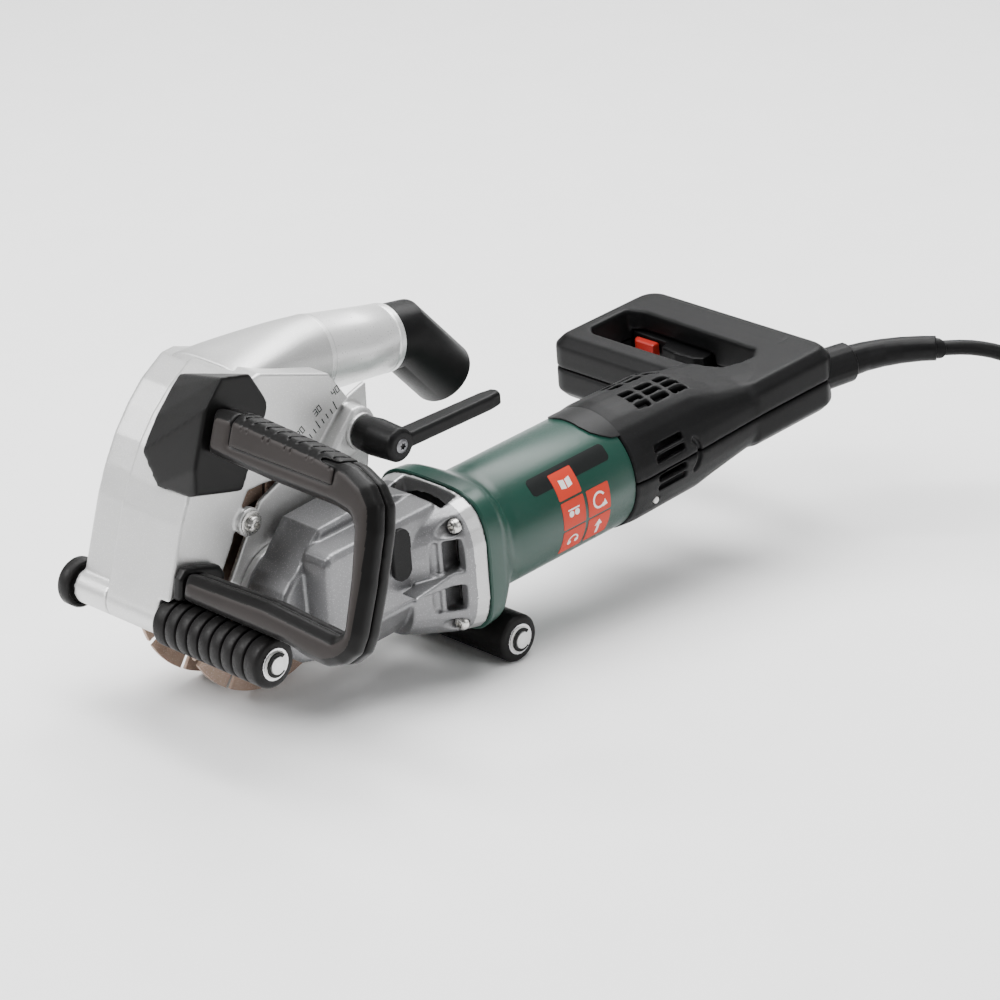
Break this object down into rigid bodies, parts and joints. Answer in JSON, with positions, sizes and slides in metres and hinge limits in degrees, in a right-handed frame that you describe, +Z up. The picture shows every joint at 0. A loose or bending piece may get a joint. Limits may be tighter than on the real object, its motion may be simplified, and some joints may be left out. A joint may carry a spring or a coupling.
{
  "type": "wall chaser",
  "caption": "Wall chaser with two diamond discs in a cast guard, a side-mounted motor, a loop rear grip, a D-shaped front handle and a dust outlet.",
  "frame": {"origin": "under the middle of the machine without its cord, on the ground it stands on", "axes": "+X towards the rear grip and the cord, +Y away from the side the motor is on, +Z up"},
  "size_m": [0.6498, 0.4018, 0.2068],
  "materials": {
    "cast_aluminium": "light silver cast aluminium with a fine grain",
    "dark_aluminium": "dark anodised aluminium, satin",
    "steel": "turned bright steel",
    "dark_steel": "blackened steel",
    "disc": "coated steel disc with sintered tan segments",
    "green_housing": "deep green moulded plastic, semi-gloss",
    "black_plastic": "black glass-filled plastic with a fine grain",
    "rubber": "black rubber",
    "white_plastic": "white bearing plastic",
    "red_plastic": "red plastic",
    "copper": "copper windings on a laminated core",
    "carbon": "moulded brush holder"
  },
  "bodies": {
    "motor_unit": {"armature_bearing_front": "steel", "armature_bearing_rear": "steel", "bearing_flange": "dark_aluminium", "brush_holder_far": "carbon", "brush_holder_near": "carbon", "clamp_bolt": "steel", "clamp_washer": "steel", "cord_coil": "rubber", "cord_collar": "black_plastic", "cord_sleeve": "rubber", "cord_tail": "rubber", "electronics_module": "black_plastic", "gear_housing": "cast_aluminium", "housing_screw_1": "dark_steel", "housing_screw_2": "dark_steel", "housing_screw_3": "dark_steel", "housing_screw_4": "dark_steel", "inner_hood": "dark_aluminium", "motor_housing": "green_housing", "plug": "rubber", "power_cord": "rubber", "rear_axle": "steel", "rear_shell_lower": "black_plastic", "rear_shell_upper": "black_plastic", "spindle_bearing_inner": "steel", "spindle_bearing_outer": "steel", "stator": "dark_steel", "switch_module": "black_plastic", "trigger_pin": "steel"},
    "guard": {"guard_housing": "cast_aluminium", "guard_cover": "cast_aluminium", "front_axle": "steel", "wall_screw": "dark_steel", "handle_cap": "black_plastic", "handle_bracket": "black_plastic", "handle_shell_front": "black_plastic", "handle_shell_rear": "black_plastic", "handle_grip_pad": "rubber"},
    "spindle_set": {"spindle": "steel", "inner_flange": "steel", "disc_near": "disc", "disc_far": "disc", "spacer_ring_1": "steel", "spacer_ring_2": "steel", "clamping_nut": "dark_steel", "bevel_gear": "dark_steel"},
    "armature_set": {"armature": "copper", "cooling_fan": "black_plastic", "bevel_pinion": "dark_steel"},
    "front_roller": {"front_roller": "rubber", "front_roller_bush": "white_plastic"},
    "front_wheel": {"front_wheel": "rubber"},
    "rear_roller": {"rear_roller": "rubber", "rear_roller_bush": "white_plastic"},
    "rear_wheel": {"rear_wheel": "rubber"},
    "clamp_lever": {"clamp_lever": "black_plastic"},
    "trigger": {"trigger": "black_plastic"},
    "lock_off_button": {"lock_off_button": "red_plastic"},
    "spindle_lock_button": {"spindle_lock_button": "black_plastic"},
    "dust_elbow": {"dust_elbow": "black_plastic"}
  },
  "joints": [
    {"name": "depth_swing", "type": "hinge", "parent": "motor_unit", "child": "guard", "pos_m": [-0.0434, 0.0606, 0.01439], "axis": [0, 1, 0], "range_deg": [-10.1, 3.05]},
    {"name": "spindle_turn", "type": "hinge", "parent": "motor_unit", "child": "spindle_set", "pos_m": [-0.16649, 0.0606, 0.0625], "axis": [0, 1, 0], "continuous": true},
    {"name": "armature_turn", "type": "hinge", "parent": "motor_unit", "child": "armature_set", "pos_m": [-0.16649, -0.0056, 0.0625], "axis": [0.9952, 0, 0.0976], "continuous": true},
    {"name": "front_roller_turn", "type": "hinge", "parent": "guard", "child": "front_roller", "pos_m": [-0.2443, 0.0606, 0.06748], "axis": [0, 1, 0], "continuous": true},
    {"name": "front_wheel_turn", "type": "hinge", "parent": "guard", "child": "front_wheel", "pos_m": [-0.2443, 0.0606, 0.06748], "axis": [0, 1, 0], "continuous": true},
    {"name": "rear_roller_turn", "type": "hinge", "parent": "motor_unit", "child": "rear_roller", "pos_m": [-0.0434, 0.0606, 0.01439], "axis": [0, 1, 0], "continuous": true},
    {"name": "rear_wheel_turn", "type": "hinge", "parent": "motor_unit", "child": "rear_wheel", "pos_m": [-0.0434, 0.0606, 0.01439], "axis": [0, 1, 0], "continuous": true},
    {"name": "clamp_lever_turn", "type": "hinge", "parent": "motor_unit", "child": "clamp_lever", "pos_m": [-0.11317, 0.0606, 0.14666], "axis": [0, 1, 0], "range_deg": [-70, 0]},
    {"name": "trigger_pull", "type": "hinge", "parent": "motor_unit", "child": "trigger", "pos_m": [0.21319, 0.0946, 0.09973], "axis": [-0.0976, 0, 0.9952], "range_deg": [0, 6], "stiffness_Nm_per_rad": 0.5, "springref_deg": -20.05},
    {"name": "lock_off_slide", "type": "slide", "parent": "trigger", "child": "lock_off_button", "axis": [0, -1, 0], "range_m": [0, 0.004], "stiffness_N_per_m": 400, "springref_m": -0.003},
    {"name": "spindle_lock_press", "type": "slide", "parent": "motor_unit", "child": "spindle_lock_button", "axis": [0, 1, 0], "range_m": [0, 0.003], "stiffness_N_per_m": 800, "springref_m": -0.002},
    {"name": "dust_elbow_turn", "type": "hinge", "parent": "guard", "child": "dust_elbow", "pos_m": [-0.04635, 0.0686, 0.17241], "axis": [0.9964, 0, -0.0842], "range_deg": [-60, 60]}
  ],
  "couplings": [
    {"joint": "armature_turn", "follows": "spindle_turn", "ratio": -3}
  ]
}
